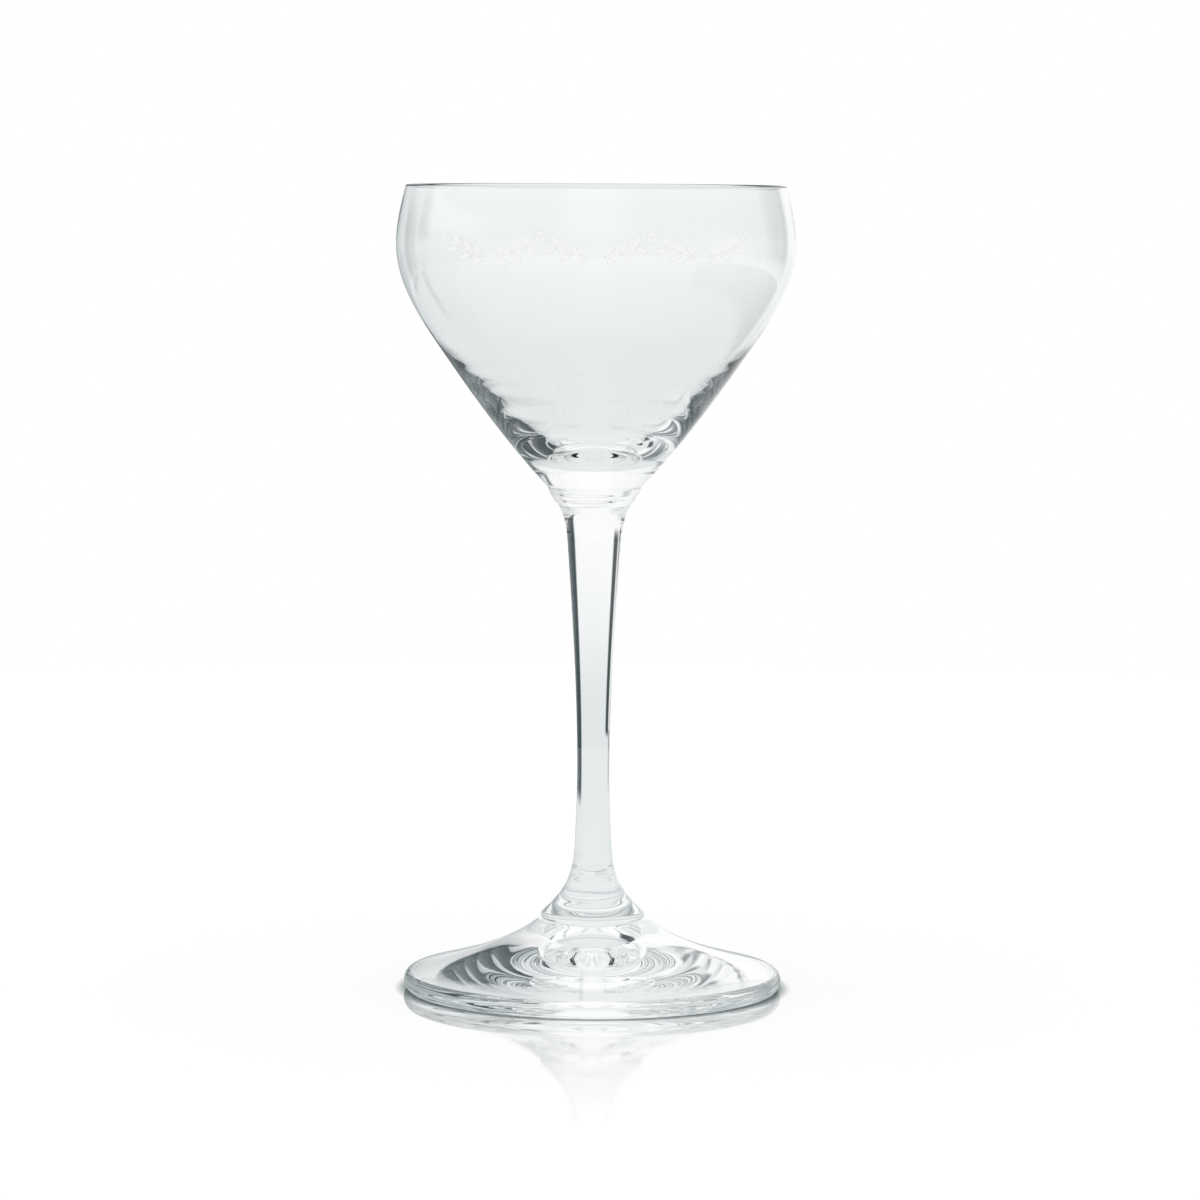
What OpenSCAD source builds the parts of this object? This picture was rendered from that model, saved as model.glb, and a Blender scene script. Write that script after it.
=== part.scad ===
/* [Overall] */
// Height of the rim above the table
glass_h = 156; // [148:0.5:168]

/* [Bowl] */
// Widest outside diameter of the bowl
bowl_d = 77; // [74:0.5:82]
// Outside diameter at the rim
rim_d = 73.4; // [70:0.2:76]
// Depth of the widest part below the rim
belly_drop = 11.5; // [9:0.5:14]
// Depth of the shoulder, where the cone begins, below the rim
shoulder_drop = 30; // [26:0.5:33]
// Outside diameter at the shoulder
shoulder_d = 61.8; // [58:0.2:66]
// Height from the weld under the bowl to the rim
bowl_h = 58.2; // [55:0.2:62]
// Diameter of the weld face under the bowl
bowl_weld_d = 18.1; // [16:0.1:20]
// Wall thickness at the rim
rim_wall = 0.9; // [0.7:0.05:1.3]
// Wall thickness at the widest part
belly_wall = 1; // [0.8:0.05:1.4]
// Wall thickness at the shoulder, measured level
shoulder_wall = 1.3; // [0.9:0.05:1.8]
// Wall thickness halfway down the cone, measured level
cone_wall = 2.6; // [2:0.1:3.2]
// Thickness of the solid glass between the weld and the lowest point of the inside
floor_t = 6.4; // [5:0.1:8]
// Diameter of the heel, where the inside turns from its floor to its wall
heel_d = 18; // [15:0.5:21]
// Height of the heel above the lowest point of the inside
heel_rise = 1.5; // [1:0.1:2.5]

/* [Collar] */
// Height of the tooled ring between bowl and stem
collar_h = 3.6; // [3:0.1:5]
// Diameter where the ring meets the stem
stem_head_d = 13.8; // [12:0.1:16]

/* [Stem] */
// Length of the flared head of the stem
head_h = 7.2; // [6:0.1:9]
// Diameter under the flared head
neck_d = 10.4; // [9:0.1:12]
// Diameter of the slimmest place
waist_d = 6.3; // [5.4:0.1:8]
// Height of the slimmest place above the lower end of the stem
waist_rise = 20.5; // [14:0.5:30]
// Diameter of the ankle, just above the lower end
ankle_d = 7.2; // [6.4:0.1:9]
// Height of the ankle above the lower end
ankle_rise = 5; // [4:0.1:7]
// Diameter of the lower end
stem_end_d = 8.9; // [8:0.1:11]

/* [Foot boss] */
// Height of the flared boss on the foot
boss_h = 8.9; // [7:0.1:11]
// Diameter of the rounded ring at the base of the boss
boss_d = 20.1; // [18:0.1:23]
// Height of that ring
boss_ring_h = 1.6; // [1.2:0.1:2.2]

/* [Foot] */
// Outside diameter of the foot
foot_d = 73.4; // [66:0.2:80]
// Height of the middle of the foot, where the boss sits
foot_h = 13.6; // [12:0.1:16]
// Diameter of the flat seat for the boss
seat_d = 21; // [20:0.1:24]
// Thickness of the rounded outer edge
edge_h = 3.5; // [3:0.1:4.4]
// Width of the rounded outer edge
edge_w = 1.1; // [0.8:0.1:2]
// Height of the widest line of the edge
edge_mid_h = 1.8; // [1.5:0.1:2.2]
// Diameter of the outer side of the ring that the glass stands on
rest_d = 71; // [62:0.5:77]
// Width of that ring
rest_w = 0.9; // [0.6:0.1:1.6]
// Diameter of the domed hollow under the middle
dome_d = 14.6; // [12:0.2:17]
// Height of the rim of the domed hollow
dome_rim_h = 5.75; // [5:0.05:6.5]
// Height of the top of the domed hollow
dome_h = 9.4; // [8.6:0.1:10.2]

/* [Garland] */
// Number of swags across the front
swag_count = 3; // [1:1:5]
// Width of one swag, as an angle around the bowl
swag_angle = 31; // [24:1:36]
// Height of the ends of a swag below the rim
swag_drop = 9.5; // [8:0.5:13]
// How far a swag hangs below its ends
swag_sag = 3.6; // [2:0.2:5]
// Number of leaf pairs on a swag
leaf_pairs = 6; // [4:2:6]
// Length of a leaf
leaf_l = 2.7; // [2:0.1:2.9]
// Width of a leaf
leaf_w = 1.1; // [0.7:0.1:1.4]
// Diameter of a berry
berry_d = 0.9; // [0.6:0.1:1.2]
// Thickness of the enamel
enamel_t = 0.1; // [0.06:0.01:0.2]

/* [Hidden] */
$fn = 96;

// Straight pieces in each smooth run of an outline
run_steps = 10;

// Heights of the welds above the table
bowl_z = glass_h - bowl_h;
collar_z = bowl_z - collar_h;
boss_z = foot_h;
stem_z = boss_z + boss_h;

// Directions of the outlines in degrees, from outward through upward
weld_lean = 46.5;
shoulder_lean = 55.5;
rim_lean = 104.5;
shoulder_inside_lean = 54.5;
cone_inside_lean = 46.5;
heel_lean = 22.5;
upright = 90;
outward = 0;
inward = 180;
downward = -90;
collar_low_lean = 46;
collar_top_lean = 74;
stem_head_lean = 60;
neck_lean = 86;
ankle_lean = 93;
stem_end_lean = 107;
boss_ring_lean = 139;
foot_seat_lean = -38;
foot_slope_lean = -15;
under_slope_lean = 164.9;
under_heel_lean = 164.5;
dome_side_lean = 136.8;

// Share of the cone, from the floor of the inside to the shoulder, at which cone_wall is measured
cone_mid_share = 0.54;

// Radius of the full round on the lip
lip_r = rim_wall / 2;
lip_z = glass_h - lip_r;
// Step in degrees along the round of the lip
lip_step = 15;

// Gap that keeps the flat motifs off the curved glass
enamel_clear = 0.05;
// Share of a swag's width that its leaves take up, clear of the berries
leaf_span_share = 0.8;
// Share of the leaf length between the swag line and the middle of a leaf
leaf_stand_share = 0.6;
// Angle between a leaf and the swag line
leaf_splay = 38;
// Distance from the middle of a motif at which it may meet the glass, and the places looked at on the way
motif_reach = leaf_l * (leaf_stand_share + 1 / 2);
reach_steps = 6;
// Berries in each cluster and their ring radius in berry diameters
berry_count = 3;
berry_ring_share = 0.75;

// A station of an outline is [radius, height, direction].
// The curve between two stations leaves the first and reaches the second in their directions.
function curve_point(a, b, t) =
    let (
        reach = norm([b[0] - a[0], b[1] - a[1]]),
        from_a = 1 - 3 * t ^ 2 + 2 * t ^ 3,
        leave_a = t - 2 * t ^ 2 + t ^ 3,
        reach_b = t ^ 3 - t ^ 2
    )
    [for (k = [0:1])
        let (
            dir_a = k == 0 ? cos(a[2]) : sin(a[2]),
            dir_b = k == 0 ? cos(b[2]) : sin(b[2])
        )
        from_a * a[k] + (1 - from_a) * b[k] + reach * (leave_a * dir_a + reach_b * dir_b)
    ];

// Points of one smooth run, with both of its ends
function run(a, b) = [for (i = [0:run_steps]) curve_point(a, b, i / run_steps)];

// Outside of the bowl, from the weld up to the lip
function bowl_outside() =
    let (
        weld = [bowl_weld_d / 2, bowl_z, weld_lean],
        shoulder = [shoulder_d / 2, glass_h - shoulder_drop, shoulder_lean],
        belly = [bowl_d / 2, glass_h - belly_drop, upright],
        lip = [rim_d / 2, lip_z, rim_lean]
    )
    concat(run(weld, shoulder), run(shoulder, belly), run(belly, lip));

// Inside of the bowl, from the lip down to the middle of its floor
function bowl_inside() =
    let (
        floor_z = bowl_z + floor_t,
        shoulder_z = glass_h - shoulder_drop,
        cone_z = floor_z + cone_mid_share * (shoulder_z - floor_z),
        lip = [rim_d / 2 - rim_wall, lip_z, rim_lean + inward],
        belly = [bowl_d / 2 - belly_wall, glass_h - belly_drop, downward],
        shoulder = [shoulder_d / 2 - shoulder_wall, shoulder_z, shoulder_inside_lean + inward],
        cone_mid = [skin_r(cone_z) - cone_wall, cone_z, cone_inside_lean + inward],
        heel = [heel_d / 2, floor_z + heel_rise, heel_lean + inward],
        floor_mid = [0, floor_z, inward]
    )
    concat(run(lip, belly), run(belly, shoulder), run(shoulder, cone_mid), run(cone_mid, heel),
        run(heel, floor_mid));

// Round of the lip, from the outside over the top to the inside
function lip_round() =
    [for (a = [lip_step:lip_step:inward - lip_step])
        [rim_d / 2 - lip_r + lip_r * cos(a), lip_z + lip_r * sin(a)]];

module lathe(points) {
    rotate_extrude() polygon(points);
}

module bowl() {
    color("aliceblue")
        lathe(concat([[0, bowl_z]], bowl_outside(), lip_round(), bowl_inside()));
}

module collar() {
    low = [stem_head_d / 2, collar_z, collar_low_lean];
    top = [bowl_weld_d / 2, bowl_z, collar_top_lean];
    color("lightsteelblue")
        lathe(concat([[0, collar_z]], run(low, top), [[0, bowl_z]]));
}

module stem() {
    low = [stem_end_d / 2, stem_z, stem_end_lean];
    ankle = [ankle_d / 2, stem_z + ankle_rise, ankle_lean];
    waist = [waist_d / 2, stem_z + waist_rise, upright];
    neck = [neck_d / 2, collar_z - head_h, neck_lean];
    head = [stem_head_d / 2, collar_z, stem_head_lean];
    color("lightcyan")
        lathe(concat(
            [[0, stem_z]], run(low, ankle), run(ankle, waist), run(waist, neck), run(neck, head),
            [[0, collar_z]]));
}

module foot_boss() {
    ring_w = boss_ring_h / 4;
    base = [boss_d / 2 - ring_w, boss_z, outward];
    nose = [boss_d / 2, boss_z + boss_ring_h / 2, upright];
    ring_top = [boss_d / 2 - ring_w, boss_z + boss_ring_h, boss_ring_lean];
    top = [stem_end_d / 2, stem_z, stem_end_lean];
    color("lightsteelblue")
        lathe(concat(
            [[0, boss_z]], run(base, nose), run(nose, ring_top), run(ring_top, top),
            [[0, stem_z]]));
}

module foot() {
    seat = [seat_d / 2, foot_h, foot_seat_lean];
    slope_end = [foot_d / 2 - edge_w, edge_h, foot_slope_lean];
    edge = [foot_d / 2, edge_mid_h, downward];
    rest = [rest_d / 2, 0, inward];
    under = [rest_d / 2 - rest_w, 0, under_slope_lean];
    dome_rim = [dome_d / 2, dome_rim_h, under_heel_lean];
    dome_side = [dome_d / 2, dome_rim_h, dome_side_lean];
    dome_top = [0, dome_h, inward];
    color("azure")
        lathe(concat(
            [[0, foot_h]], run(seat, slope_end), run(slope_end, edge), run(edge, rest),
            run(under, dome_rim), run(dome_side, dome_top)));
}

// Outside radius of the bowl at a height
function skin_r(z) = lookup(z, [for (p = bowl_outside()) [p[1], p[0]]]);

// Lean of the outside from upright at a height, in degrees, taken over the width of a leaf
function skin_lean(z) = atan2(skin_r(z - leaf_w / 2) - skin_r(z + leaf_w / 2), leaf_w);

// How far the glass stands out past the plane of a flat motif, none where the wall bulges
function skin_rise(z) =
    max([for (i = [-reach_steps:reach_steps])
        let (h = motif_reach * i / reach_steps)
        skin_r(z + h) - skin_r(z) + h * tan(skin_lean(z))]);

// A leaf with its tip along X, between two equal arcs
module leaf() {
    arc_r = (leaf_l ^ 2 + leaf_w ^ 2) / (4 * leaf_w);
    intersection() {
        translate([0, arc_r - leaf_w / 2]) circle(arc_r);
        translate([0, leaf_w / 2 - arc_r]) circle(arc_r);
    }
}

// Lays a flat motif of enamel against the front of the bowl at an angle and a height
module on_bowl(angle, z) {
    rotate([0, 0, angle])
        translate([0, -skin_r(z) - skin_rise(z) - enamel_clear, z])
            rotate([upright - skin_lean(z), 0, 0])
                linear_extrude(enamel_t) children();
}

// Height of the swag line at a share from -1 to 1 of its half width
function swag_z(share) = glass_h - swag_drop - swag_sag * (1 - share ^ 2);

// Leaves of one swag, in pairs that point up its two arms
module swag_leaves(mid_angle) {
    half_w = bowl_d / 2 * sin(swag_angle / 2);
    for (i = [0:leaf_pairs - 1]) {
        share = leaf_span_share * ((2 * i + 1) / leaf_pairs - 1);
        line_lean = atan2(2 * swag_sag * share, half_w);
        flip = share < 0 ? inward : 0;
        for (side = [-1, 1])
            on_bowl(mid_angle + share * swag_angle / 2, swag_z(share))
                rotate(line_lean + flip + side * leaf_splay)
                    translate([leaf_l * leaf_stand_share, 0]) leaf();
    }
}

// Berries in a ring where two swags meet
module berry_cluster(angle) {
    for (i = [0:berry_count - 1])
        on_bowl(angle, swag_z(1))
            rotate(upright + i * 360 / berry_count)
                translate([berry_d * berry_ring_share, 0]) circle(d = berry_d);
}

module garland() {
    first_angle = -swag_count * swag_angle / 2;
    color("gainsboro") {
        for (i = [0:swag_count - 1]) swag_leaves(first_angle + (i + 0.5) * swag_angle);
        for (i = [0:swag_count]) berry_cluster(first_angle + i * swag_angle);
    }
}

bowl();
collar();
stem();
foot_boss();
foot();
garland();
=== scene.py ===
"""Looks of a clear stemmed cocktail glass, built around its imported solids.

Lengths are in metres and angles in degrees, in the frame of the solids: the origin is at the centre of
the ring that the foot stands on, +Z is up and -Y is towards the viewer.
"""

import logging
import math
from dataclasses import dataclass, field
from enum import Enum
from typing import Sequence

import bmesh
import bpy
import numpy as np
from mathutils import Matrix


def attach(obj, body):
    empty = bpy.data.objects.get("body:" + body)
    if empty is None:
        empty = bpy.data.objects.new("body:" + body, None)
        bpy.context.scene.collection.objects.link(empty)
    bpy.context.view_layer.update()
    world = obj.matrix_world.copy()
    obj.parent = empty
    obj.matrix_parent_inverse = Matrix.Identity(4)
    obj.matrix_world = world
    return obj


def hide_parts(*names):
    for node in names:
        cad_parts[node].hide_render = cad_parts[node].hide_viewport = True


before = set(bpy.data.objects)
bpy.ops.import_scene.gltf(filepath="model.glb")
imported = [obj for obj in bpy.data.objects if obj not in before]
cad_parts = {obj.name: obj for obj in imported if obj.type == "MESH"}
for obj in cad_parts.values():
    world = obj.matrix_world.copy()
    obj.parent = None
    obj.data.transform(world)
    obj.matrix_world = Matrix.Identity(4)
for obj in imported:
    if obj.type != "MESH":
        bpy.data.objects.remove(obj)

LOG = logging.getLogger("glass")
BODY = "root"
MM = 0.001
SEAM = 0.01 * MM  # how far each side of a weld stays back, so that no two faces lie in one plane
UPRIGHT, DOWNWARD, INWARD, OUTWARD = 90.0, -90.0, 180.0, 0.0
WALL_FACES = 3  # light that has crossed more faces than this has passed more than one piece of wall
BOUNCES = 40  # enough for light to leave the thick bottom of the bowl
GLOSSY_BOUNCES = 24

Colour = tuple[float, float, float]
Shade = Colour | bpy.types.NodeSocket


class Slot(Enum):
    """Material slots of the record."""

    GLASS = "clear_glass"
    ENAMEL = "enamel"


class Face(Enum):
    """Which material of a piece of glass a stretch of its outline takes."""

    SURFACE = 0
    WELD = 1


@dataclass(frozen=True)
class Station:
    """A place on an outline, and the direction of the outline there.

    Attributes:
        radius: distance from the axis.
        height: height above the table.
        lean: direction in degrees, 0 outward and 90 upward.
    """

    radius: float
    height: float
    lean: float

    def place(self) -> np.ndarray:
        """The place as (radius, height)."""
        return np.array([self.radius, self.height])

    def way(self) -> np.ndarray:
        """The direction as a unit vector."""
        return np.array([math.cos(math.radians(self.lean)), math.sin(math.radians(self.lean))])

    def raised(self, rise: float) -> "Station":
        """The same station, higher by rise."""
        return Station(self.radius, self.height + rise, self.lean)

    def turned(self) -> "Station":
        """The same station, walked the other way."""
        return Station(self.radius, self.height, self.lean + INWARD)


def put(name: str, data: bpy.types.ID) -> bpy.types.Object:
    """Adds an object to the scene.

    Args:
        name: name of the object.
        data: its mesh or camera.

    Returns:
        The object, at the origin.
    """
    thing = bpy.data.objects.new(name, data)
    bpy.context.scene.collection.objects.link(thing)
    return thing


def smooth_run(a: Station, b: Station, steps: int) -> np.ndarray:
    """Places along the curve between two stations.

    The curve is the cubic that leaves a and reaches b along their directions, both scaled by the
    distance between them: p = h0 a + h1 b + reach (g0 way_a + g1 way_b), with the usual Hermite shares.

    Args:
        a: first station.
        b: last station.
        steps: number of straight pieces.

    Returns:
        (steps + 1, 2) array of radius and height.
    """
    t = np.linspace(0.0, 1.0, steps + 1)[:, None]
    reach = np.linalg.norm(b.place() - a.place())
    from_a = 1 - 3 * t**2 + 2 * t**3
    leave_a = t - 2 * t**2 + t**3
    reach_b = t**3 - t**2
    bend = reach * (leave_a * a.way() + reach_b * b.way())
    return from_a * a.place() + (1 - from_a) * b.place() + bend


@dataclass
class Outline:
    """Half of a cross-section, walked with the glass on the left, from the axis back to the axis.

    Attributes:
        steps: straight pieces between two stations.
        weld_rings: rings that a weld face is cut into.
    """

    steps: int
    weld_rings: int = 5
    points: list[np.ndarray] = field(default_factory=list)
    faces: list[Face] = field(default_factory=list)

    def add(self, stretch: np.ndarray, face: Face = Face.SURFACE) -> "Outline":
        """Adds a stretch, and drops its first point where the last one already stands.

        Args:
            stretch: (n, 2) array of radius and height.
            face: what the stretch is made of.

        Returns:
            This outline.
        """
        if self.points and np.allclose(self.points[-1], stretch[0], atol=1e-7):
            stretch = stretch[1:]
        self.points.extend(stretch)
        self.faces.extend([face] * (len(self.points) - 1 - len(self.faces)))
        return self

    def run(self, *stations: Station, face: Face = Face.SURFACE) -> "Outline":
        """Adds the smooth runs through some stations.

        Args:
            *stations: two or more stations.
            face: what the stretch is made of.

        Returns:
            This outline.
        """
        for a, b in zip(stations, stations[1:]):
            self.add(smooth_run(a, b, self.steps), face)
        return self

    def weld_out(self, edge: Station) -> "Outline":
        """Adds the flat weld face from the axis out to its edge."""
        return self.line([(0.0, edge.height), (edge.radius, edge.height)], self.weld_rings,
                         Face.WELD)

    def weld_in(self, edge: Station) -> "Outline":
        """Adds the flat weld face from its edge in to the axis."""
        return self.line([(edge.radius, edge.height), (0.0, edge.height)], self.weld_rings,
                         Face.WELD)

    def line(self, ends: Sequence[tuple[float, float]], pieces: int, face: Face) -> "Outline":
        """Adds a straight stretch.

        Args:
            ends: its two ends as (radius, height).
            pieces: number of rings that it is cut into.
            face: what the stretch is made of.

        Returns:
            This outline.
        """
        share = np.linspace(0.0, 1.0, pieces + 1)[:, None]
        return self.add(np.array(ends[0]) * (1 - share) + np.array(ends[1]) * share, face)


@dataclass
class Lathe:
    """Turns an outline about the Z axis into a closed mesh.

    The surface is (r cos a, r sin a, z), where r and z follow the outline and a goes once round.
    """

    segments: int = 224

    def mesh(self, name: str, outline: Outline, wobble: np.ndarray | None = None) -> bpy.types.Mesh:
        """Makes the mesh.

        Args:
            name: name of the mesh.
            outline: starts and ends on the axis, where the rings close into single points.
            wobble: what is added to the radius, an array of (outline points, segments), or None.

        Returns:
            The mesh, faces outward, with a material index for each stretch of the outline.
        """
        points = np.array(outline.points)
        turn = np.arange(self.segments) * 2 * np.pi / self.segments
        rings = points[1:-1]
        radius = np.repeat(rings[:, :1], self.segments, axis=1)
        if wobble is not None:
            radius = radius + wobble[1:-1]
        x, y = radius * np.cos(turn), radius * np.sin(turn)
        z = np.repeat(rings[:, 1:], self.segments, axis=1)
        grid = np.stack([x, y, z], axis=-1).reshape(-1, 3)
        poles = np.array([[0, 0, points[0, 1]], [0, 0, points[-1, 1]]])
        places = np.vstack([grid, poles])

        ring = np.arange(len(rings) - 1)[:, None] * self.segments
        near = np.arange(self.segments)[None, :]
        far = (near + 1) % self.segments
        quads = np.stack([ring + near, ring + far, ring + far + self.segments,
                          ring + near + self.segments], axis=-1)
        first, last = len(grid), len(grid) + 1
        top = (len(rings) - 1) * self.segments
        near, far = near.ravel(), far.ravel()
        start_fan = np.stack([np.full_like(near, first), far, near], axis=-1)
        end_fan = np.stack([top + near, top + far, np.full_like(near, last)], axis=-1)

        mesh = bpy.data.meshes.new(name)
        faces = start_fan.tolist() + quads.reshape(-1, 4).tolist() + end_fan.tolist()
        mesh.from_pydata(places.tolist(), [], faces)
        kinds = np.array([face.value for face in outline.faces])
        slots = np.repeat(kinds, self.segments).astype(np.int32)
        mesh.polygons.foreach_set("material_index", slots)
        mesh.polygons.foreach_set("use_smooth", slots == Face.SURFACE.value)
        mesh.update()
        return mesh


class Value:
    """A shader socket that adds a Math node for each operator used on it."""

    def __init__(self, shader: "Shader", socket: bpy.types.NodeSocket) -> None:
        """Wraps a socket.

        Args:
            shader: the tree that the socket is in.
            socket: an output socket.
        """
        self.shader = shader
        self.socket = socket

    def _math(self, operation: str, *values: "Value | float") -> "Value":
        """Adds one Math node.

        Args:
            operation: the node's operation.
            *values: its inputs.

        Returns:
            Its result.
        """
        node = self.shader.node("ShaderNodeMath", {"operation": operation}, dict(enumerate(values)))
        return Value(self.shader, node.outputs[0])

    def __add__(self, other: "Value | float") -> "Value":
        """Sum."""
        return self._math("ADD", self, other)

    def __radd__(self, other: float) -> "Value":
        """Sum with a number on the left."""
        return self._math("ADD", other, self)

    def __sub__(self, other: "Value | float") -> "Value":
        """Difference."""
        return self._math("SUBTRACT", self, other)

    def __rsub__(self, other: float) -> "Value":
        """Difference from a number on the left."""
        return self._math("SUBTRACT", other, self)

    def __mul__(self, other: "Value | float") -> "Value":
        """Product."""
        return self._math("MULTIPLY", self, other)

    def __rmul__(self, other: float) -> "Value":
        """Product with a number on the left."""
        return self._math("MULTIPLY", other, self)

    def bearing(self, along: "Value") -> "Value":
        """Angle in degrees of the point with this as its sideways and along as its forward distance."""
        return self._math("ARCTAN2", self, along) * math.degrees(1.0)

    def slope_angle(self) -> "Value":
        """Angle in degrees whose sine this is."""
        return self._math("ARCSINE", self) * math.degrees(1.0)

    def band(self, low: float, high: float, soft: float) -> "Value":
        """1 between two limits and 0 outside, with soft edges.

        Args:
            low: lower limit.
            high: upper limit.
            soft: width of each edge.

        Returns:
            The mask.
        """
        return self.step(low, soft) * (1 - self.step(high, soft))

    def over(self, count: int) -> "Value":
        """1 where this whole number is above a count, and 0 elsewhere."""
        return self.step(count + 0.5, 0.5)

    def step(self, at: float, soft: float) -> "Value":
        """0 below a limit and 1 above it, with a smooth edge.

        Args:
            at: the limit.
            soft: width of the edge.

        Returns:
            The mask.
        """
        inputs = {"Value": self, "From Min": at - soft / 2, "From Max": at + soft / 2}
        node = self.shader.node("ShaderNodeMapRange", {"interpolation_type": "SMOOTHSTEP"}, inputs)
        return Value(self.shader, node.outputs[0])


class Shader:
    """Builds the node tree of a material or a world."""

    def __init__(self, tree: bpy.types.NodeTree) -> None:
        """Empties a tree.

        Args:
            tree: the tree to build in.
        """
        tree.nodes.clear()
        self.tree = tree

    def node(self, kind: str, settings: dict[str, object] | None = None,
             inputs: dict[str | int, object] | None = None) -> bpy.types.Node:
        """Adds a node.

        Args:
            kind: the node's type.
            settings: its properties, set first.
            inputs: values or links of its sockets, by name or number.

        Returns:
            The node.
        """
        node = self.tree.nodes.new(kind)
        for name, value in (settings or {}).items():
            setattr(node, name, value)
        for key, value in (inputs or {}).items():
            socket = node.inputs[key]
            source = value.socket if isinstance(value, Value) else value
            if isinstance(source, bpy.types.NodeSocket):
                self.tree.links.new(source, socket)
            elif isinstance(source, tuple) and len(source) == 3 and socket.type == "RGBA":
                socket.default_value = (*source, 1.0)
            else:
                socket.default_value = source
        return node

    def value(self, node: bpy.types.Node, output: str | int = 0) -> Value:
        """One output of a node, ready for operators."""
        return Value(self, node.outputs[output])

    def mix(self, factor: Value, a: Shade, b: Shade) -> bpy.types.NodeSocket:
        """Mixes two colours.

        Args:
            factor: share of b.
            a: first colour.
            b: second colour.

        Returns:
            The mixed colour.
        """
        node = self.node("ShaderNodeMix", {"data_type": "RGBA"}, {0: factor, 6: a, 7: b})
        return node.outputs[2]

    def noise(self, scale: float, detail: float = 2.0) -> Value:
        """Soft noise on object coordinates.

        Args:
            scale: lumps per metre.
            detail: octaves of detail.

        Returns:
            The noise, from 0 to 1.
        """
        place = self.node("ShaderNodeTexCoord").outputs["Object"]
        node = self.node("ShaderNodeTexNoise", {}, {"Vector": place, "Scale": scale, "Detail": detail})
        return self.value(node)

    def surface(self, node: bpy.types.Node) -> None:
        """Joins a shader node to a material's output."""
        self.node("ShaderNodeOutputMaterial", {}, {"Surface": node.outputs[0]})


def new_material(name: str) -> tuple[bpy.types.Material, Shader]:
    """Makes an empty material.

    Args:
        name: its name.

    Returns:
        The material, and the builder of its tree.
    """
    material = bpy.data.materials.new(name)
    material.use_nodes = True
    return material, Shader(material.node_tree)


@dataclass(frozen=True)
class ClearGlass:
    """Clear fire-polished glass with the faint unevenness of blown and pressed work."""

    name: str = "clear_glass"
    tint: Colour = (0.993, 0.9975, 0.9975)
    ior: float = 1.5
    unevenness: float = 0.006
    lumps_per_metre: float = 70.0

    def make(self) -> bpy.types.Material:
        """Makes the material.

        Returns:
            The material.
        """
        material, shader = new_material(self.name)
        lumps = shader.noise(self.lumps_per_metre)
        bump = shader.node("ShaderNodeBump", {}, {"Strength": self.unevenness, "Distance": MM,
                                                  "Height": lumps})
        shader.surface(shader.node("ShaderNodeBsdfPrincipled", {}, {
            "Base Color": self.tint, "IOR": self.ior, "Transmission Weight": 1.0, "Roughness": 0.0,
            "Normal": bump.outputs[0]}))
        return material


@dataclass(frozen=True)
class Weld:
    """The face where two pieces of glass are fused: light passes it without bending."""

    name: str = "fused_weld"
    clear: Colour = (1.0, 1.0, 1.0)

    def make(self) -> bpy.types.Material:
        """Makes the material.

        Returns:
            The material.
        """
        material, shader = new_material(self.name)
        shader.surface(shader.node("ShaderNodeBsdfPrincipled", {}, {
            "Base Color": self.clear, "IOR": 1.0, "Transmission Weight": 1.0, "Roughness": 0.0}))
        return material


@dataclass(frozen=True)
class Glaze:
    """Thin fired enamel: pale warm grey, matt, a little uneven where it was screened on."""

    name: str = "enamel"
    pale: Colour = (0.89, 0.90, 0.88)
    deep: Colour = (0.84, 0.85, 0.83)
    grains_per_metre: float = 2600.0
    grain_detail: float = 3.0
    grain_strength: float = 0.3
    grain_depth: float = 0.02 * MM
    smoothest: float = 0.35
    roughening: float = 0.2

    def make(self) -> bpy.types.Material:
        """Makes the material.

        Returns:
            The material.
        """
        material, shader = new_material(self.name)
        grain = shader.noise(self.grains_per_metre, self.grain_detail)
        bump = shader.node("ShaderNodeBump", {}, {"Strength": self.grain_strength,
                                                  "Distance": self.grain_depth, "Height": grain})
        shader.surface(shader.node("ShaderNodeBsdfPrincipled", {}, {
            "Base Color": shader.mix(grain, self.pale, self.deep),
            "Roughness": self.smoothest + self.roughening * grain, "Normal": bump.outputs[0]}))
        return material


def merge_close(mesh: bpy.types.Mesh) -> None:
    """Joins the vertices that lie in one place, and turns the faces outward.

    Args:
        mesh: the mesh to mend.
    """
    shape = bmesh.new()
    shape.from_mesh(mesh)
    bmesh.ops.remove_doubles(shape, verts=shape.verts, dist=1e-8)
    bmesh.ops.recalc_face_normals(shape, faces=shape.faces)
    shape.to_mesh(mesh)
    shape.free()


@dataclass
class GlassPiece:
    """What every turned piece of clear glass shares.

    Attributes:
        steps: straight pieces of its outline between two stations.
        lathe: what turns its outline.
    """

    steps: int = 32
    lathe: Lathe = field(default_factory=Lathe)

    def finish(self, mesh: bpy.types.Mesh, nodes: Sequence[str],
               finishes: Sequence[bpy.types.Material]) -> bpy.types.Object:
        """Dresses a mesh and puts it in place of its solids.

        Args:
            mesh: the mesh, whose name the piece takes.
            nodes: the solids that it stands for.
            finishes: its materials, the surface's first and the weld's second.

        Returns:
            The finished object.
        """
        for finish in finishes:
            mesh.materials.append(finish)
        piece = put(mesh.name, mesh)
        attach(piece, BODY)
        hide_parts(*nodes)
        LOG.info("%s: %d faces", piece.name, len(mesh.polygons))
        return piece


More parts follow.
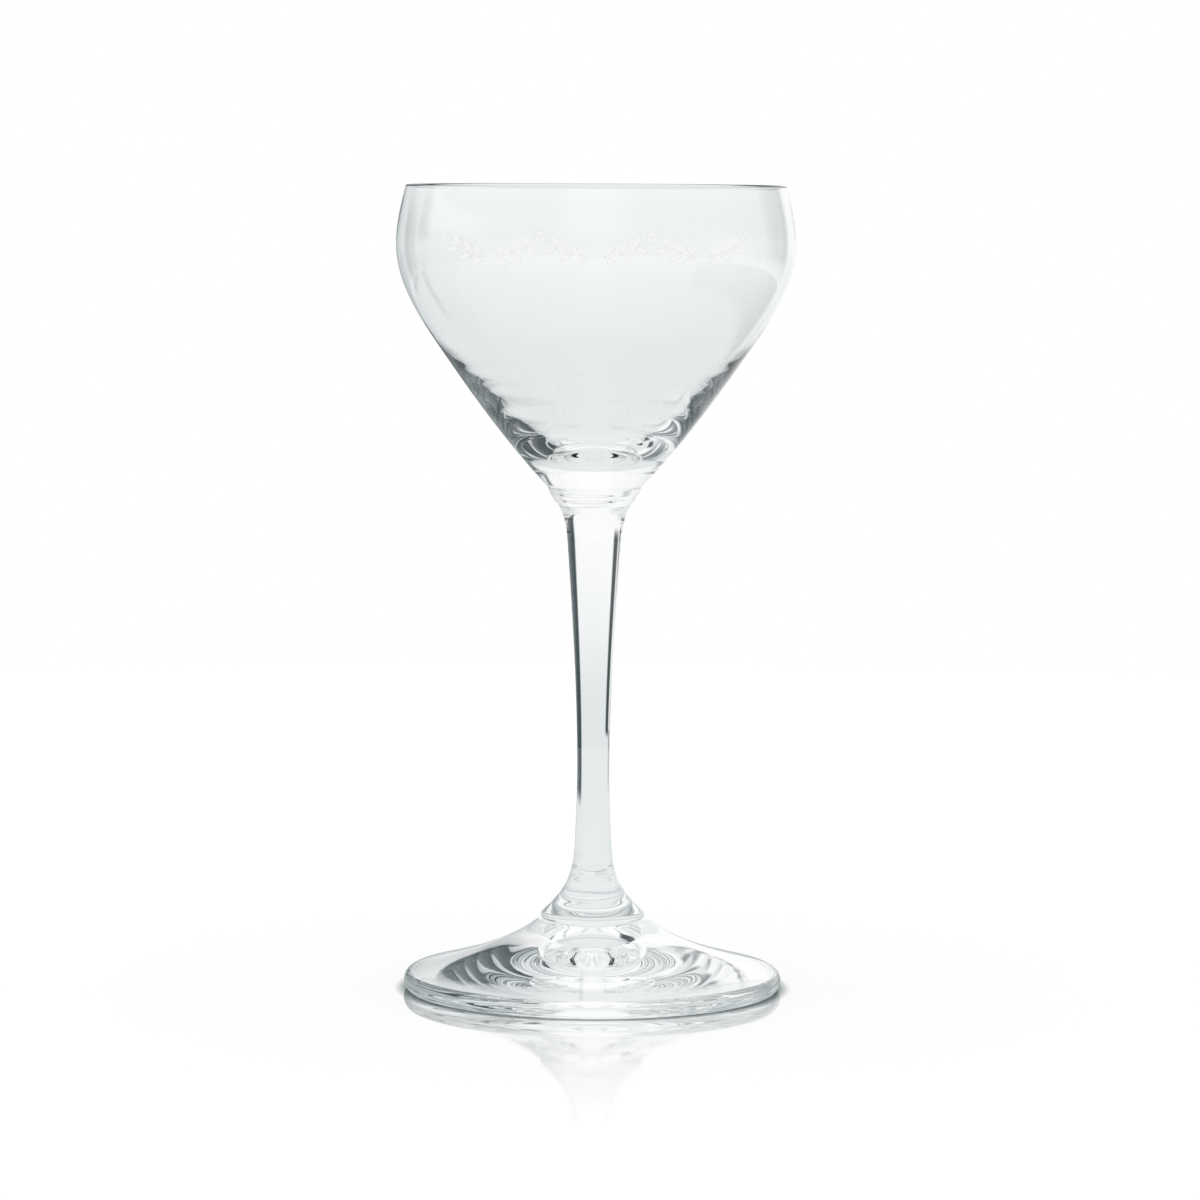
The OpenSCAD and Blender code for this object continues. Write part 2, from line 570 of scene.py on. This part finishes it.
@dataclass(frozen=True)
class Ripples:
    """Faint rings left in the glass by blowing or tooling, wider apart towards the bottom.

    The radius gains depth * fade * sin(turns + lean), where turns grow from the top of the rings to the
    bottom, fade is 0 at both ends, and the rings lean and swell a little round the glass.

    Attributes:
        top: height where the rings begin.
        bottom: height where they end.
        rings: how many there are.
        spread: power of the share of the way down, which widens the lower rings.
        depth: how far they stand out.
        tilt: how far they lean round the glass, in radians of their turns.
        swell: how much their depth changes round the glass, as a share.
        fade_power: power of the half sine that fades them in and out.
        bend_share: share of the tilt that goes twice round the glass.
        lobes: times that the depth swells round the glass.
    """

    top: float = 124 * MM
    bottom: float = 105.5 * MM
    rings: float = 5.0
    spread: float = 0.82
    depth: float = 0.022 * MM
    tilt: float = 0.6
    swell: float = 0.35
    fade_power: float = 0.7
    tilt_start: float = 0.6
    bend_share: float = 0.5
    bend_start: float = 2.0
    lobes: int = 3
    lobe_start: float = 1.0

    def wobble(self, points: np.ndarray, marked: np.ndarray, segments: int) -> np.ndarray:
        """Makes what is added to the radius.

        Args:
            points: (n, 2) outline as radius and height.
            marked: (n,) mask of the points that take the rings.
            segments: places round the axis.

        Returns:
            (n, segments) array.
        """
        turn = np.arange(segments) * 2 * np.pi / segments
        share = np.clip((self.top - points[:, 1]) / (self.top - self.bottom), 0.0, 1.0)
        fade = np.abs(np.sin(np.pi * share)) ** self.fade_power * marked
        turns = 2 * np.pi * self.rings * share**self.spread
        bend = self.bend_share * np.sin(2 * turn + self.bend_start)
        lean = self.tilt * (np.sin(turn + self.tilt_start) + bend)
        swell = 1 + self.swell * np.sin(self.lobes * turn + self.lobe_start)
        return self.depth * fade[:, None] * swell * np.sin(turns[:, None] + lean)


@dataclass
class Bowl(GlassPiece):
    """The blown bowl, from its weld to its lip."""

    steps: int = 44
    rim_height: float = 156 * MM
    rim_radius: float = 36.7 * MM
    rim_wall: float = 0.9 * MM
    belly: Station = Station(38.5 * MM, 144.5 * MM, UPRIGHT)
    belly_wall: float = 1.0 * MM
    shoulder: Station = Station(30.9 * MM, 126 * MM, 55.5)
    weld: Station = Station(9.05 * MM, 97.8 * MM, 46.5)
    shoulder_inside: Station = Station(29.6 * MM, 126 * MM, 54.5 + INWARD)
    cone_inside: Station = Station(21.26 * MM, 115.97 * MM, 46.5 + INWARD)
    heel: Station = Station(9 * MM, 105.7 * MM, 22.5 + INWARD)
    floor: Station = Station(0.0, 104.2 * MM, INWARD)
    rim_lean: float = 104.5
    lip_steps: int = 12
    skin_rise: float = 1 * MM
    ripples: Ripples = field(default_factory=Ripples)

    def outside(self, outline: Outline) -> Outline:
        """Adds the weld and the outside, up to the lip.

        Args:
            outline: an empty outline.

        Returns:
            The outline.
        """
        lip = Station(self.rim_radius, self.rim_height - self.rim_wall / 2, self.rim_lean)
        weld = self.weld.raised(SEAM)
        return outline.weld_out(weld).run(weld, self.shoulder, self.belly, lip)

    def skin(self) -> np.ndarray:
        """Heights and radii of the outside above the weld, (n, 2) with the heights rising."""
        points = np.array(self.outside(Outline(self.steps)).points)
        return points[points[:, 1] > self.weld.height + self.skin_rise][:, ::-1]

    def lip(self, outline: Outline) -> Outline:
        """Adds the full round of the lip: a half circle of half the wall's thickness.

        Args:
            outline: the outline up to the lip.

        Returns:
            The outline.
        """
        turn = np.radians(np.linspace(0.0, 180.0, self.lip_steps + 1))
        half = self.rim_wall / 2
        ring = np.stack([self.rim_radius - half + half * np.cos(turn),
                         self.rim_height - half + half * np.sin(turn)], axis=-1)
        return outline.add(ring)

    def inside(self, outline: Outline) -> Outline:
        """Adds the inside, from the lip down to the middle of the floor.

        Args:
            outline: the outline up to the end of the lip.

        Returns:
            The outline.
        """
        lip = Station(self.rim_radius - self.rim_wall, self.rim_height - self.rim_wall / 2,
                      self.rim_lean + INWARD)
        belly = Station(self.belly.radius - self.belly_wall, self.belly.height, DOWNWARD)
        return outline.run(lip, belly, self.shoulder_inside, self.cone_inside, self.heel, self.floor)

    def build(self, finishes: Sequence[bpy.types.Material]) -> bpy.types.Object:
        """Makes the bowl.

        Args:
            finishes: materials of its surface and its weld.

        Returns:
            The bowl.
        """
        outline = self.lip(self.outside(Outline(self.steps)))
        skin = len(outline.points)
        outline = self.inside(outline)
        points = np.array(outline.points)
        wobble = self.ripples.wobble(points, np.arange(len(points)) >= skin, self.lathe.segments)
        return self.finish(self.lathe.mesh("clear_bowl", outline, wobble), ["bowl"], finishes)


@dataclass
class Collar(GlassPiece):
    """The tooled ring between bowl and stem."""

    low: Station = Station(6.9 * MM, 94.2 * MM, 46)
    top: Station = Station(9.05 * MM, 97.8 * MM, 74)
    ripples: Ripples = Ripples(top=97.8 * MM, bottom=94.2 * MM, rings=3.0, spread=0.9,
                               depth=0.045 * MM, tilt=0.7, swell=0.5)

    def build(self, finishes: Sequence[bpy.types.Material]) -> bpy.types.Object:
        """Makes the collar.

        Args:
            finishes: materials of its surface and its weld.

        Returns:
            The collar.
        """
        low, top = self.low.raised(SEAM), self.top.raised(-SEAM)
        outline = Outline(self.steps).weld_out(low).run(low, top).weld_in(top)
        points = np.array(outline.points)
        wobble = self.ripples.wobble(points, points[:, 0] > low.radius, self.lathe.segments)
        return self.finish(self.lathe.mesh("clear_collar", outline, wobble), ["collar"], finishes)


@dataclass
class Stem(GlassPiece):
    """The drawn stem, slimmest in its lower half and flared at its head."""

    steps: int = 48
    low: Station = Station(4.45 * MM, 22.5 * MM, 107)
    ankle: Station = Station(3.6 * MM, 27.5 * MM, 93)
    waist: Station = Station(3.15 * MM, 43 * MM, UPRIGHT)
    neck: Station = Station(5.2 * MM, 87 * MM, 86)
    head: Station = Station(6.9 * MM, 94.2 * MM, 60)

    def build(self, finishes: Sequence[bpy.types.Material]) -> bpy.types.Object:
        """Makes the stem.

        Args:
            finishes: materials of its surface and its weld.

        Returns:
            The stem.
        """
        low, head = self.low.raised(SEAM), self.head.raised(-SEAM)
        outline = Outline(self.steps).weld_out(low)
        outline.run(low, self.ankle, self.waist, self.neck, head).weld_in(head)
        return self.finish(self.lathe.mesh("clear_stem", outline), ["stem"], finishes)


@dataclass
class FootBoss(GlassPiece):
    """The flared button under the stem, with a rounded ring at its base."""

    base: Station = Station(9.65 * MM, 13.6 * MM, OUTWARD)
    nose: Station = Station(10.05 * MM, 14.4 * MM, UPRIGHT)
    ring_top: Station = Station(9.65 * MM, 15.2 * MM, 139)
    top: Station = Station(4.45 * MM, 22.5 * MM, 107)
    ripples: Ripples = Ripples(top=22.0 * MM, bottom=15.3 * MM, rings=3.5, spread=1.1,
                               depth=0.035 * MM, tilt=0.5, swell=0.4)

    def build(self, finishes: Sequence[bpy.types.Material]) -> bpy.types.Object:
        """Makes the boss.

        Args:
            finishes: materials of its surface and its weld.

        Returns:
            The boss.
        """
        base, top = self.base.raised(SEAM), self.top.raised(-SEAM)
        outline = Outline(self.steps).weld_out(base)
        outline.run(base, self.nose, self.ring_top, top).weld_in(top)
        points = np.array(outline.points)
        wobble = self.ripples.wobble(points, points[:, 0] > top.radius, self.lathe.segments)
        return self.finish(self.lathe.mesh("clear_foot_boss", outline, wobble), ["foot_boss"], finishes)


@dataclass
class Foot(GlassPiece):
    """The pressed foot: a sloping disc with a rounded edge and a hollow underside."""

    steps: int = 40
    flat_rings: int = 3
    boss_radius: float = 9.65 * MM
    seat: Station = Station(10.5 * MM, 13.6 * MM, -38)
    slope_end: Station = Station(35.6 * MM, 3.5 * MM, -15)
    edge: Station = Station(36.7 * MM, 1.8 * MM, DOWNWARD)
    rest: Station = Station(35.5 * MM, 0.0, INWARD)
    rest_width: float = 0.9 * MM
    under_lean: float = 164.9
    dome_rim: Station = Station(7.3 * MM, 5.75 * MM, 164.5)
    dome_side_lean: float = 136.8
    dome_top: Station = Station(0.0, 9.4 * MM, INWARD)

    def build(self, finishes: Sequence[bpy.types.Material]) -> bpy.types.Object:
        """Makes the foot.

        Args:
            finishes: materials of its surface and its weld.

        Returns:
            The foot.
        """
        under = Station(self.rest.radius - self.rest_width, 0.0, self.under_lean)
        dome_side = Station(self.dome_rim.radius, self.dome_rim.height, self.dome_side_lean)
        seat = self.seat.raised(-SEAM)
        boss = Station(self.boss_radius, seat.height, INWARD)
        outline = Outline(self.steps).run(self.dome_top.turned(), dome_side.turned())
        outline.run(self.dome_rim.turned(), under.turned())
        outline.line([(under.radius, 0.0), (self.rest.radius, 0.0)], self.flat_rings, Face.SURFACE)
        outline.run(self.rest.turned(), self.edge.turned(), self.slope_end.turned(), seat.turned())
        flat = [(seat.radius, seat.height), (boss.radius, boss.height)]
        outline.line(flat, self.flat_rings, Face.SURFACE).weld_in(boss)
        return self.finish(self.lathe.mesh("clear_foot", outline), ["foot"], finishes)


@dataclass
class Garland:
    """Swags of laurel between berries, screened round the front of the bowl as thin domed enamel.

    Attributes:
        skin: outside of the bowl, (n, 2) heights and radii with the heights rising.
        swag_angle: width of a swag round the bowl, in degrees.
        girth: radius at which widths are measured.
        leaf_span: share of a swag that has leaves.
        leaf_stand: distance of a leaf's middle from the line, as a share of its length.
        leaf_splay: angle between a leaf and the line, in degrees.
        berry_stand: distance of a berry's middle from its cluster's, as a share of its size.
        thread_reach: share of a swag that its stalk follows.
        thread_taper: power that keeps the stalk full until close to its ends.
        gap: how far the enamel stays off the glass.
    """

    skin: np.ndarray
    swags: int = 3
    swag_angle: float = 31.0
    end_height: float = 146.5 * MM
    sag: float = 3.6 * MM
    girth: float = 38.5 * MM
    leaf_pairs: int = 6
    leaf_span: float = 0.8
    leaf_length: float = 2.7 * MM
    leaf_width: float = 1.1 * MM
    leaf_stand: float = 0.6
    leaf_splay: float = 38.0
    berry: float = 0.9 * MM
    berries: int = 3
    berry_stand: float = 0.75
    thread_width: float = 0.24 * MM
    thread_reach: float = 0.93
    thread_taper: int = 8
    thread_steps: int = 64
    thread_sides: int = 8
    thickness: float = 0.09 * MM
    gap: float = 0.03 * MM
    rings: int = 5
    sides: int = 24

    def line(self, share: np.ndarray) -> np.ndarray:
        """Height of a swag at shares from -1 to 1 of its half width: a parabola through its ends."""
        return self.end_height - self.sag * (1 - share**2)

    def middles(self) -> np.ndarray:
        """Bearings of the swags' middles in radians, 0 towards the viewer and growing to the right."""
        return np.radians(self.swag_angle) * (np.arange(self.swags) - (self.swags - 1) / 2)

    def lay(self, across: np.ndarray, height: np.ndarray, rise: np.ndarray) -> np.ndarray:
        """Lays flat places against the bowl.

        Args:
            across: bearings in radians.
            height: heights.
            rise: distances from the gap outward.

        Returns:
            Array of the same shape with three coordinates more.
        """
        radius = np.interp(height, self.skin[:, 0], self.skin[:, 1]) + self.gap + rise
        return np.stack([radius * np.sin(across), -radius * np.cos(across), height], axis=-1)

    def motifs(self, bearing: np.ndarray, height: np.ndarray, lean: np.ndarray, stand: float,
               size: tuple[float, float], pointed: bool) -> tuple[np.ndarray, np.ndarray]:
        """Makes domed motifs: rings from a middle out to an edge, over a flat back.

        A ring of share q has the places (q cos a, q sin a), or (q cos a, q sin a |sin a|) for a pointed
        leaf, times half the size, and stands sqrt(1 - q^2) of the thickness high.

        Args:
            bearing: (m,) bearings of their places on the line, in radians.
            height: (m,) heights there.
            lean: (m,) directions in which they point, in radians.
            stand: distance from the line to their middles.
            size: length and width.
            pointed: leaves if true, and berries otherwise.

        Returns:
            (m, places, 3) vertices and (faces, 4) indices of one motif.
        """
        turn = np.arange(self.sides) * 2 * np.pi / self.sides
        reach = np.sin(np.linspace(0.0, np.pi / 2, self.rings + 1)[1:])
        reach = np.concatenate([reach, reach[::-1]])
        front = np.arange(2 * self.rings) < self.rings
        side = np.sin(turn) * (np.abs(np.sin(turn)) if pointed else 1.0)
        x = stand + reach[:, None] * np.cos(turn) * size[0] / 2
        y = reach[:, None] * side * size[1] / 2
        rise = np.repeat((front * np.sqrt(1 - reach**2) * self.thickness)[:, None], self.sides, axis=1)
        x, y = np.append(x, [stand, stand]), np.append(y, [0.0, 0.0])
        rise = np.append(rise, [self.thickness, 0.0])
        aside = x * np.cos(lean)[:, None] - y * np.sin(lean)[:, None]
        up = x * np.sin(lean)[:, None] + y * np.cos(lean)[:, None]
        places = self.lay(bearing[:, None] + aside / self.girth, height[:, None] + up,
                          np.broadcast_to(rise, aside.shape))

        near = np.arange(self.sides)
        far = (near + 1) % self.sides
        ring = np.arange(2 * self.rings - 1)[:, None] * self.sides
        quads = np.stack([ring + near, ring + near + self.sides, ring + far + self.sides, ring + far],
                         axis=-1).reshape(-1, 4)
        top, back = 2 * self.rings * self.sides, 2 * self.rings * self.sides + 1
        last = (2 * self.rings - 1) * self.sides
        front_fan = np.stack([np.full_like(near, top), near, far, far], axis=-1)
        back_fan = np.stack([np.full_like(near, back), last + far, last + near, last + near], axis=-1)
        return places, np.vstack([quads, front_fan, back_fan])

    def slope(self, share: np.ndarray) -> np.ndarray:
        """Angle of a swag's line at shares of its half width, whose tangent is 2 sag share / half width."""
        return np.arctan2(2 * self.sag * share, self.girth * math.sin(math.radians(self.swag_angle / 2)))

    def leaves(self) -> tuple[np.ndarray, np.ndarray]:
        """Leaves in pairs that point up the two arms of each swag.

        Returns:
            (leaves, places, 3) vertices and (faces, 4) indices of one leaf.
        """
        share = self.leaf_span * ((2 * np.arange(self.leaf_pairs) + 1) / self.leaf_pairs - 1)
        slope = self.slope(share) + np.where(share < 0, np.pi, 0.0)
        splay = np.radians(self.leaf_splay) * np.array([-1.0, 1.0])
        middle, pair, side = np.meshgrid(self.middles(), np.arange(self.leaf_pairs), splay, indexing="ij")
        pick = pair.astype(int).ravel()
        bearing = middle.ravel() + share[pick] * math.radians(self.swag_angle / 2)
        return self.motifs(bearing, self.line(share[pick]), slope[pick] + side.ravel(),
                           self.leaf_length * self.leaf_stand, (self.leaf_length, self.leaf_width), True)

    def clusters(self) -> tuple[np.ndarray, np.ndarray]:
        """Berries in a ring at each end of a swag, the first one upward.

        Returns:
            (berries, places, 3) vertices and (faces, 4) indices of one berry.
        """
        ends = np.radians(self.swag_angle) * (np.arange(self.swags + 1) - self.swags / 2)
        turn = np.pi / 2 + np.arange(self.berries) * 2 * np.pi / self.berries
        bearing, lean = (grid.ravel() for grid in np.meshgrid(ends, turn, indexing="ij"))
        return self.motifs(bearing, np.full_like(bearing, self.end_height), lean,
                           self.berry_stand * self.berry, (self.berry, self.berry), False)

    def threads(self) -> tuple[np.ndarray, np.ndarray]:
        """The stalk of each swag: an oval tube along its line, drawn in to a point at both ends.

        At the share s of the way from the middle to an end, the tube is sqrt(1 - s^taper) of its size.

        Returns:
            (swags, places, 3) vertices and (faces, 4) indices of one stalk.
        """
        steps, sides = self.thread_steps, self.thread_sides
        share = np.linspace(-self.thread_reach, self.thread_reach, steps)
        turn = np.arange(sides) * 2 * np.pi / sides
        full = np.sqrt(np.clip(1 - (share / self.thread_reach) ** self.thread_taper, 0.0, 1.0))[:, None]
        slope = self.slope(share)[:, None]
        aside = full * self.thread_width / 2 * np.cos(turn)
        bearing = share[:, None] * math.radians(self.swag_angle / 2) - aside * np.sin(slope) / self.girth
        height = self.line(share)[:, None] + aside * np.cos(slope)
        rise = self.thickness / 2 * (1 - full * np.sin(turn))
        all_bearings = self.middles()[:, None, None] + bearing
        places = self.lay(all_bearings, np.broadcast_to(height, all_bearings.shape),
                          np.broadcast_to(rise, all_bearings.shape)).reshape(self.swags, -1, 3)
        near = np.arange(sides)
        far = (near + 1) % sides
        ring = np.arange(steps - 1)[:, None] * sides
        faces = np.stack([ring + near, ring + far, ring + far + sides, ring + near + sides], axis=-1)
        return places, faces.reshape(-1, 4)

    def build(self, finish: bpy.types.Material) -> bpy.types.Object:
        """Makes the garland.

        Args:
            finish: its enamel.

        Returns:
            The garland.
        """
        places, faces, count = [], [], 0
        for vertices, indices in (self.leaves(), self.clusters(), self.threads()):
            start = count + np.arange(len(vertices)) * vertices.shape[1]
            places.append(vertices.reshape(-1, 3))
            faces.append((start[:, None, None] + indices).reshape(-1, 4))
            count += vertices.shape[0] * vertices.shape[1]
        mesh = bpy.data.meshes.new("enamel_garland")
        rows = [row[:3] if row[2] == row[3] else row for row in np.vstack(faces).tolist()]
        mesh.from_pydata(np.vstack(places).tolist(), [], rows)
        merge_close(mesh)
        mesh.polygons.foreach_set("use_smooth", np.ones(len(mesh.polygons), dtype=bool))
        mesh.materials.append(finish)
        piece = put(mesh.name, mesh)
        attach(piece, BODY)
        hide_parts("garland")
        LOG.info("%s: %d faces", piece.name, len(mesh.polygons))
        return piece


@dataclass(frozen=True)
class Card:
    """A dark flat that stands beside the glass, out of the picture, and edges it.

    Attributes:
        low_bearing: bearing of its left side in degrees, 0 straight behind the glass.
        high_bearing: bearing of its right side.
        low: lower edge in degrees above the horizon.
        high: upper edge.
        shade: its colour.
        soft: how softly its left and right sides fade, in degrees.
    """

    low_bearing: float
    high_bearing: float
    low: float = -7.5
    high: float = 41.0
    shade: Colour = (0.018, 0.036, 0.043)
    soft: float = 6.0


@dataclass(frozen=True)
class Studio:
    """White walls all round, and dark flats beside the glass that draw its edges.

    The camera sees plain white. What is seen through the glass has the flats in it, its sheen mirrors
    paler ones, and what is matt is lit evenly from all round.

    Attributes:
        cards: flats that are seen through the glass.
        sheen: flats that its sheen mirrors.
        often: how much of the flats is left for light that has passed more than one piece of wall.
        far_table: the table beyond its modelled disc, seen through the glass.
        even: light on what is matt.
        horizon: where the far table ends, in degrees above the level.
    """

    cards: tuple[Card, ...] = (
        Card(66, 157, 14, 60, (0.14, 0.18, 0.2), 34), Card(-157, -66, 14, 60, (0.14, 0.18, 0.2), 34),
        Card(35, 120), Card(100, 157, soft=34), Card(-157, -111, soft=24),
        Card(140, 186, -10, 6), Card(-186, -140, -10, 6), Card(-50, -34, -14, 6), Card(-66, -54, 1, 12))
    sheen: tuple[Card, ...] = (
        Card(-64, -5, -12, 46, (0.22, 0.26, 0.28)), Card(34, 64, -12, 60, (0.5, 0.55, 0.57)),
        Card(-110, -55, -14, 6))
    often: float = 0.25
    white: Colour = (1.0, 1.0, 1.0)
    far_table: Colour = (0.80, 0.835, 0.84)
    even: Colour = (1.06, 1.06, 1.06)
    horizon: float = -2.0
    horizon_soft: float = 6.0
    low_soft: float = 5.0
    high_soft: float = 9.0

    def with_cards(self, shader: Shader, colour: Shade, cards: Sequence[Card],
                   way: tuple[Value, Value], share: Value | float = 1.0) -> Shade:
        """Lays flats over a colour.

        Args:
            shader: the world's tree.
            colour: what is behind the flats.
            cards: the flats.
            way: bearing and height of the ray in degrees.
            share: how much of the flats shows.

        Returns:
            The colour.
        """
        bearing, height = way
        for card in cards:
            sides = bearing.band(card.low_bearing, card.high_bearing, card.soft)
            upward = height.step(card.low, self.low_soft) * (1 - height.step(card.high, self.high_soft))
            colour = shader.mix(sides * upward * share, colour, card.shade)
        return colour

    def make(self) -> None:
        """Makes the world."""
        world = bpy.data.worlds.new("studio")
        bpy.context.scene.world = world
        world.use_nodes = True
        world.cycles.sampling_method = "NONE"
        shader = Shader(world.node_tree)
        outward = shader.node("ShaderNodeTexCoord").outputs["Generated"]
        parts = shader.node("ShaderNodeSeparateXYZ", {}, {0: outward})
        bearing = shader.value(parts, 0).bearing(shader.value(parts, 1))
        way = bearing, shader.value(parts, 2).slope_angle()
        ray = shader.node("ShaderNodeLightPath")
        matt = shader.value(ray, "Diffuse Depth").over(0)
        through = shader.value(ray, "Is Transmission Ray") * (1 - matt)
        mirrored = shader.value(ray, "Is Glossy Ray") * (1 - through)
        colour = shader.mix(mirrored, self.even, self.white)
        first = 1 - shader.value(ray, "Transmission Depth").over(WALL_FACES)
        behind = shader.mix(way[1].step(self.horizon, self.horizon_soft), self.far_table, self.white)
        shown = self.often + (1 - self.often) * first
        colour = shader.mix(through, colour, self.with_cards(shader, behind, self.cards, way, shown))
        sharp = mirrored * shader.value(ray, "Is Singular Ray")
        colour = shader.mix(sharp, colour, self.with_cards(shader, self.white, self.sheen, way))
        colour = shader.mix(shader.value(ray, "Is Camera Ray"), colour, self.white)
        light = shader.node("ShaderNodeBackground", {}, {"Color": colour, "Strength": 1.0})
        shader.node("ShaderNodeOutputWorld", {}, {"Surface": light.outputs[0]})


@dataclass(frozen=True)
class Table:
    """The white table top: matt, with a mirror's gloss that grows towards the glass.

    The camera and the light see it as it is, with a painted shadow on the ring where the glass stands. Seen
    through the glass or in its sheen it has an even tone of its own, as a wide table under soft light has,
    and through the glass the painted shadow shows there too.

    Attributes:
        through_glass: its tone seen through the glass.
        in_sheen: its tone in the glass's sheen, close by.
        sheen_fade: distance at which the sheen turns white, and how softly.
        sheen_dark: bearings at which it doesn't, and how softly they end.
        flats: flats that stand on it, seen through the glass, and how far from the glass each begins.
        contact_shadow: tone of the painted shadow on the ring where the glass stands.
        gloss: share of the mirror's gloss at its fullest.
        gloss_from: distance from the middle at which the gloss begins.
        gloss_full: distance at which it is fullest.
    """

    radius: float = 0.6
    segments: int = 128
    white: Colour = (0.98, 0.98, 0.98)
    through_glass: Colour = (0.80, 0.835, 0.84)
    in_sheen: Colour = (0.45, 0.5, 0.51)
    sheen_fade: tuple[float, float] = (0.36, 0.46)
    sheen_dark: tuple[float, float, float] = (-110.0, -5.0, 14.0)
    flats: tuple[tuple[Card, float], ...] = (
        (Card(35, 120), 0.22), (Card(-50, -34), 0.53), (Card(-60, -54, soft=2.0), 0.25))
    flats_soft: float = 0.06
    # painted shadow on the ring where the glass stands: its tone, where it lies, and how softly it ends
    contact_shadow: Colour = (0.30, 0.35, 0.34)
    contact_shadow_span: tuple[float, float] = (0.0345, 0.0375)
    contact_shadow_soft: float = 0.003
    gloss: float = 0.8
    roughness: float = 0.05
    gloss_from: float = 0.14
    gloss_full: float = 0.037

    def make(self) -> bpy.types.Object:
        """Makes the table top: a disc (r cos a, r sin a, 0) about the origin, facing up.

        Returns:
            The table top.
        """
        turn = np.arange(self.segments) * 2 * np.pi / self.segments
        rim = self.radius * np.stack([np.cos(turn), np.sin(turn), np.zeros_like(turn)], axis=-1)
        mesh = bpy.data.meshes.new("table_top")
        mesh.from_pydata(rim.tolist(), [], [list(range(self.segments))])
        mesh.materials.append(self.finish())
        table = put(mesh.name, mesh)
        return table

    def seen_in_glass(self, shader: Shader, place: bpy.types.NodeSocket, reach: Value, shadow_ring: Value,
                      sharp: Value) -> bpy.types.Node:
        """The even tone that the table has through the glass and in its sheen.

        Args:
            shader: the table's tree.
            place: coordinates on the table.
            reach: distance from the middle.
            shadow_ring: mask of the ring where the glass stands, which takes the painted shadow.
            sharp: mask of the sheen.

        Returns:
            The shader node that glows in that tone.
        """
        ray = shader.node("ShaderNodeLightPath")
        parts = shader.node("ShaderNodeSeparateXYZ", {}, {0: place})
        bearing = shader.value(parts, 0).bearing(shader.value(parts, 1))
        first = 1 - shader.value(ray, "Transmission Depth").over(WALL_FACES)
        # the tone through the glass, with a painted shadow on the ring where the glass stands
        shown = shader.mix(shadow_ring, self.through_glass, self.contact_shadow)
        for flat, start in self.flats:
            sides = bearing.band(flat.low_bearing, flat.high_bearing, flat.soft)
            shown = shader.mix(sides * reach.step(start, self.flats_soft) * first, shown, flat.shade)
        paler = reach.step(*self.sheen_fade) * (1 - bearing.band(*self.sheen_dark))
        sheen = shader.mix(paler, self.in_sheen, self.white)
        return shader.node("ShaderNodeEmission", {}, {"Color": shader.mix(sharp, shown, sheen)})

    def finish(self) -> bpy.types.Material:
        """Makes its material: the gloss grows evenly from its outer ring in to the foot of the glass.

        Returns:
            The material.
        """
        material, shader = new_material("table_white")
        ray = shader.node("ShaderNodeLightPath")
        through = shader.value(ray, "Is Transmission Ray")
        sharp = shader.value(ray, "Is Glossy Ray") * shader.value(ray, "Is Singular Ray") * (1 - through)
        place = shader.node("ShaderNodeTexCoord").outputs["Object"]
        reach = shader.value(shader.node("ShaderNodeVectorMath", {"operation": "LENGTH"}, {0: place}), 1)
        # a painted shadow darkens the table's white on the ring where the glass stands, for the camera, the
        # light and the mirror
        shadow_ring = reach.band(*self.contact_shadow_span, self.contact_shadow_soft)
        white = shader.mix(shadow_ring, self.white, self.contact_shadow)
        matt = shader.node("ShaderNodeBsdfDiffuse", {}, {"Color": white})
        glow = self.seen_in_glass(shader, place, reach, shadow_ring, sharp)
        plain = shader.node("ShaderNodeMixShader", {}, {
            0: through + sharp, 1: matt.outputs[0], 2: glow.outputs[0]})
        mirror = shader.node("ShaderNodeBsdfGlossy", {}, {"Color": white, "Roughness": self.roughness})
        share = shader.node("ShaderNodeMapRange", {}, {
            "Value": reach, "From Min": self.gloss_from, "From Max": self.gloss_full,
            "To Min": 0.0, "To Max": self.gloss})
        shader.surface(shader.node("ShaderNodeMixShader", {}, {
            0: shader.value(ray, "Is Camera Ray") * shader.value(share), 1: plain.outputs[0],
            2: mirror.outputs[0]}))
        return material


@dataclass(frozen=True)
class Viewpoint:
    """The camera of the photograph: a long lens a little above the rim.

    Attributes:
        distance: how far it stands in front of the glass.
        height: its height above the table.
        aside: how far it stands to the right.
        pitch: how far it looks down, in degrees.
        roll: how far it is turned about its view, in degrees.
    """

    distance: float = 947.97 * MM
    height: float = 163.386 * MM
    aside: float = 1.12 * MM
    pitch: float = 5.275
    roll: float = 0.315
    lens: float = 147.43
    sensor: float = 36.0
    clip: tuple[float, float] = (0.01, 20.0)

    def make(self) -> None:
        """Makes the camera. It looks along +Y, tipped down by pitch, and turns by roll about its view."""
        camera = put("camera", bpy.data.cameras.new("camera"))
        camera.data.lens = self.lens
        camera.data.sensor_width = self.sensor
        camera.data.clip_start, camera.data.clip_end = self.clip
        place = Matrix.Translation((self.aside, -self.distance, self.height))
        tip = Matrix.Rotation(math.radians(UPRIGHT - self.pitch), 4, "X")
        camera.matrix_world = place @ tip @ Matrix.Rotation(math.radians(self.roll), 4, "Z")
        bpy.context.scene.camera = camera


def main() -> None:
    """Builds the glass, its finishes, the table, the light and the camera."""
    logging.basicConfig(level=logging.INFO, format="%(name)s %(message)s")
    scene = bpy.context.scene
    scene.view_settings.view_transform = "Standard"
    scene.cycles.max_bounces = BOUNCES
    scene.cycles.transmission_bounces = BOUNCES
    scene.cycles.glossy_bounces = GLOSSY_BOUNCES
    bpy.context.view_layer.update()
    finishes = [ClearGlass().make(), Weld().make()]
    bowl = Bowl()
    for piece in (bowl, Collar(), Stem(), FootBoss(), Foot()):
        piece.build(finishes)
    Garland(bowl.skin()).build(Glaze().make())
    Table().make()
    Studio().make()
    Viewpoint().make()


if __name__ == "__main__":
    main()
